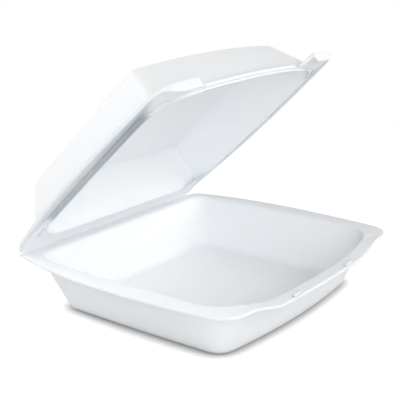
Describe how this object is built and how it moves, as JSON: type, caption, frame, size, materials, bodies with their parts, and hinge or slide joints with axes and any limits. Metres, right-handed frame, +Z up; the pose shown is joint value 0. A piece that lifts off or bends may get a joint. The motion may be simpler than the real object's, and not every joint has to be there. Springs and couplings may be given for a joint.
{
  "type": "foam clamshell container",
  "caption": "Hinged foam takeaway container with a drafted tray and a domed lid that turns on a moulded crease.",
  "frame": {"origin": "centre of the underside of the tray, where it rests on a table", "axes": "+X along the hinge, to the right seen from the front; -Y towards the front, which opens; +Z up"},
  "size_m": [0.232, 0.2, 0.1832],
  "materials": {
    "foam": "matte"
  },
  "bodies": {
    "base": {"base_tray": "foam"},
    "lid": {"lid": "foam"}
  },
  "joints": [
    {"name": "lid_hinge", "type": "hinge", "parent": "base", "child": "lid", "pos_m": [0, 0.09803, 0.0384], "axis": [-1, 0, 0], "range_deg": [-43.5, 136.5]}
  ]
}
